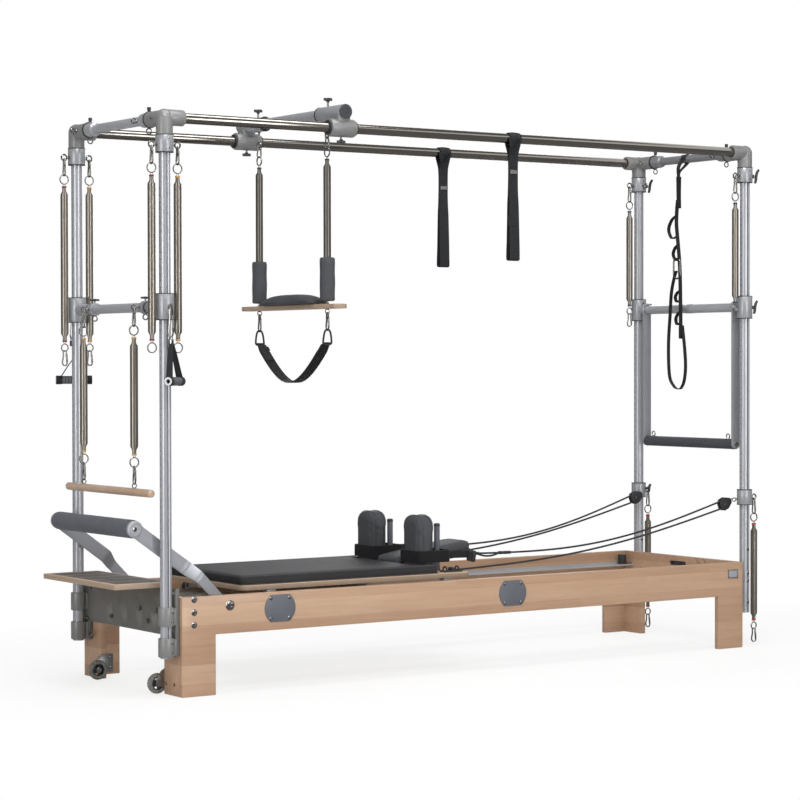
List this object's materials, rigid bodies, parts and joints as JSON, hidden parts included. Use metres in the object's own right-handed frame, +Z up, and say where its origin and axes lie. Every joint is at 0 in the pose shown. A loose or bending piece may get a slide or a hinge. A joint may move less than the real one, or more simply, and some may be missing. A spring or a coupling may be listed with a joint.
{
  "type": "pilates reformer with tower",
  "caption": "Wooden reformer with a spring-drawn carriage, a folding footbar and steel end towers joined by rails that carry springs, straps and a sliding trapeze.",
  "frame": {"origin": "on the floor below the middle of the whole machine", "axes": "+X from the foot end to the head end, +Y to the far side, +Z up"},
  "size_m": [3.0225, 0.9192, 2.171],
  "materials": {
    "beech": "clear satin lacquer",
    "plywood": "clear satin lacquer",
    "silver_paint": "satin silver",
    "grey_fitting": "satin warm grey",
    "brushed_steel": "brushed",
    "spring_steel": "bare wire",
    "dark_casting": "dark satin paint",
    "aluminium": "mill finish",
    "charcoal_vinyl": "fine grained vinyl",
    "charcoal_foam": "matt foam",
    "black_webbing": "woven",
    "clear_grey_urethane": "smooth",
    "black_rope": "braided"
  },
  "bodies": {
    "frame": {"side_panel_near": "beech", "side_panel_far": "beech", "foot_end_panel": "beech", "head_end_panel": "beech", "foot_end_casting": "dark_casting", "standing_platform": "plywood", "track_near": "aluminium", "track_far": "aluminium", "foot_post_near": "silver_paint", "foot_post_far": "silver_paint", "head_post_near": "silver_paint", "head_post_far": "silver_paint", "foot_header": "grey_fitting", "head_header": "grey_fitting", "top_rail_near": "brushed_steel", "top_rail_far": "brushed_steel", "pulley_riser_near": "grey_fitting", "pulley_riser_far": "grey_fitting", "spring_bar": "brushed_steel", "carriage_springs": "spring_steel", "wheel_bracket_near": "grey_fitting", "wheel_bracket_far": "grey_fitting", "rail_strap_near": "black_webbing", "rail_strap_far": "black_webbing", "long_strap": "black_webbing", "rope_near": "black_rope", "rope_far": "black_rope"},
    "foot_bar": {"foot_cross_bar": "grey_fitting"},
    "head_bar": {"head_cross_bar": "grey_fitting"},
    "push_bar": {"push_through_bar": "silver_paint"},
    "carrier": {"trapeze_carrier": "grey_fitting"},
    "trapeze": {"trapeze_spring_near": "spring_steel", "trapeze_spring_far": "spring_steel", "trapeze_bar": "plywood", "trapeze_seat_pad": "charcoal_vinyl", "trapeze_sling": "black_webbing"},
    "roll_down": {"roll_down_spring_near": "spring_steel", "roll_down_spring_far": "spring_steel", "roll_down_bar": "beech"},
    "carriage": {"carriage_board": "plywood", "carriage_pad": "charcoal_vinyl", "shoulder_rest_near": "charcoal_vinyl", "shoulder_rest_far": "charcoal_vinyl", "strap_loop_near": "black_webbing", "strap_loop_far": "black_webbing"},
    "headrest": {"headrest": "charcoal_vinyl"},
    "footbar": {"footbar_frame": "silver_paint", "footbar_roller": "charcoal_foam"},
    "grip_near": {"hand_grip_near": "black_webbing"},
    "grip_far": {"hand_grip_far": "black_webbing"},
    "wheel_near": {"transport_wheel_near": "clear_grey_urethane"},
    "wheel_far": {"transport_wheel_far": "clear_grey_urethane"},
    "foot_spring_outer_near": {"foot_spring_outer_near": "spring_steel"},
    "foot_spring_outer_far": {"foot_spring_outer_far": "spring_steel"},
    "foot_spring_inner_near": {"foot_spring_inner_near": "spring_steel"},
    "foot_spring_inner_far": {"foot_spring_inner_far": "spring_steel"},
    "head_spring_high_near": {"head_spring_high_near": "spring_steel"},
    "head_spring_high_far": {"head_spring_high_far": "spring_steel"},
    "head_spring_low_near": {"head_spring_low_near": "spring_steel"},
    "head_spring_low_far": {"head_spring_low_far": "spring_steel"}
  },
  "joints": [
    {"name": "carriage_slide", "type": "slide", "parent": "frame", "child": "carriage", "axis": [1, 0, 0], "range_m": [0, 0.95], "stiffness_N_per_m": 120, "springref_m": -0.25, "deforming": ["carriage_springs", "rope_near", "rope_far"]},
    {"name": "headrest_tilt", "type": "hinge", "parent": "carriage", "child": "headrest", "pos_m": [-0.13925, 0, 0.3838], "axis": [0, -1, 0], "range_deg": [-8, 12]},
    {"name": "footbar_fold", "type": "hinge", "parent": "frame", "child": "footbar", "pos_m": [-1.09025, 0, 0.322], "axis": [0, 1, 0], "range_deg": [-20, 60]},
    {"name": "foot_bar_slide", "type": "slide", "parent": "frame", "child": "foot_bar", "axis": [0, 0, 1], "range_m": [0, 0.35]},
    {"name": "roll_down_swing", "type": "hinge", "parent": "foot_bar", "child": "roll_down", "pos_m": [-1.38125, 0, 1.40192], "axis": [0, 1, 0], "range_deg": [-0.5, 25]},
    {"name": "head_bar_slide", "type": "slide", "parent": "frame", "child": "head_bar", "axis": [0, 0, 1], "range_m": [0, 0.35]},
    {"name": "push_bar_swing", "type": "hinge", "parent": "head_bar", "child": "push_bar", "pos_m": [1.44475, 0, 1.432], "axis": [0, 1, 0], "range_deg": [-80, 80]},
    {"name": "trapeze_slide", "type": "slide", "parent": "frame", "child": "carrier", "axis": [1, 0, 0], "range_m": [-0.35, 0.65]},
    {"name": "trapeze_swing", "type": "hinge", "parent": "carrier", "child": "trapeze", "pos_m": [-0.58125, 0, 2.05621], "axis": [0, 1, 0], "range_deg": [-15, 15]},
    {"name": "transport_wheel_spin_near", "type": "hinge", "parent": "frame", "child": "wheel_near", "pos_m": [-1.30925, -0.234, 0.0383], "axis": [0, 1, 0], "continuous": true},
    {"name": "transport_wheel_spin_far", "type": "hinge", "parent": "frame", "child": "wheel_far", "pos_m": [-1.30925, 0.234, 0.0383], "axis": [0, 1, 0], "continuous": true},
    {"name": "grip_swing_near", "type": "hinge", "parent": "foot_bar", "child": "grip_near", "pos_m": [-1.33325, -0.3917, 1.39721], "axis": [0, 1, 0], "range_deg": [-20, 2]},
    {"name": "foot_spring_outer_near_swing", "type": "hinge", "parent": "frame", "child": "foot_spring_outer_near", "pos_m": [-1.38625, -0.348, 1.98192], "axis": [0, 1, 0], "range_deg": [-0.3, 15]},
    {"name": "foot_spring_inner_near_swing", "type": "hinge", "parent": "frame", "child": "foot_spring_inner_near", "pos_m": [-1.28025, -0.348, 1.98192], "axis": [0, 1, 0], "range_deg": [-15, 0.3]},
    {"name": "head_spring_high_near_swing", "type": "hinge", "parent": "frame", "child": "head_spring_high_near", "pos_m": [1.39175, -0.348, 1.98192], "axis": [0, 1, 0], "range_deg": [-0.3, 15]},
    {"name": "head_spring_low_near_swing", "type": "hinge", "parent": "frame", "child": "head_spring_low_near", "pos_m": [1.49775, -0.348, 0.62692], "axis": [0, 1, 0], "range_deg": [-15, 0.3]},
    {"name": "grip_swing_far", "type": "hinge", "parent": "foot_bar", "child": "grip_far", "pos_m": [-1.33325, 0.3917, 1.39721], "axis": [0, 1, 0], "range_deg": [-20, 2]},
    {"name": "foot_spring_outer_far_swing", "type": "hinge", "parent": "frame", "child": "foot_spring_outer_far", "pos_m": [-1.38625, 0.348, 1.98192], "axis": [0, 1, 0], "range_deg": [-0.3, 15]},
    {"name": "foot_spring_inner_far_swing", "type": "hinge", "parent": "frame", "child": "foot_spring_inner_far", "pos_m": [-1.28025, 0.348, 1.98192], "axis": [0, 1, 0], "range_deg": [-15, 0.3]},
    {"name": "head_spring_high_far_swing", "type": "hinge", "parent": "frame", "child": "head_spring_high_far", "pos_m": [1.39175, 0.348, 1.98192], "axis": [0, 1, 0], "range_deg": [-0.3, 15]},
    {"name": "head_spring_low_far_swing", "type": "hinge", "parent": "frame", "child": "head_spring_low_far", "pos_m": [1.49775, 0.348, 0.62692], "axis": [0, 1, 0], "range_deg": [-15, 0.3]}
  ]
}
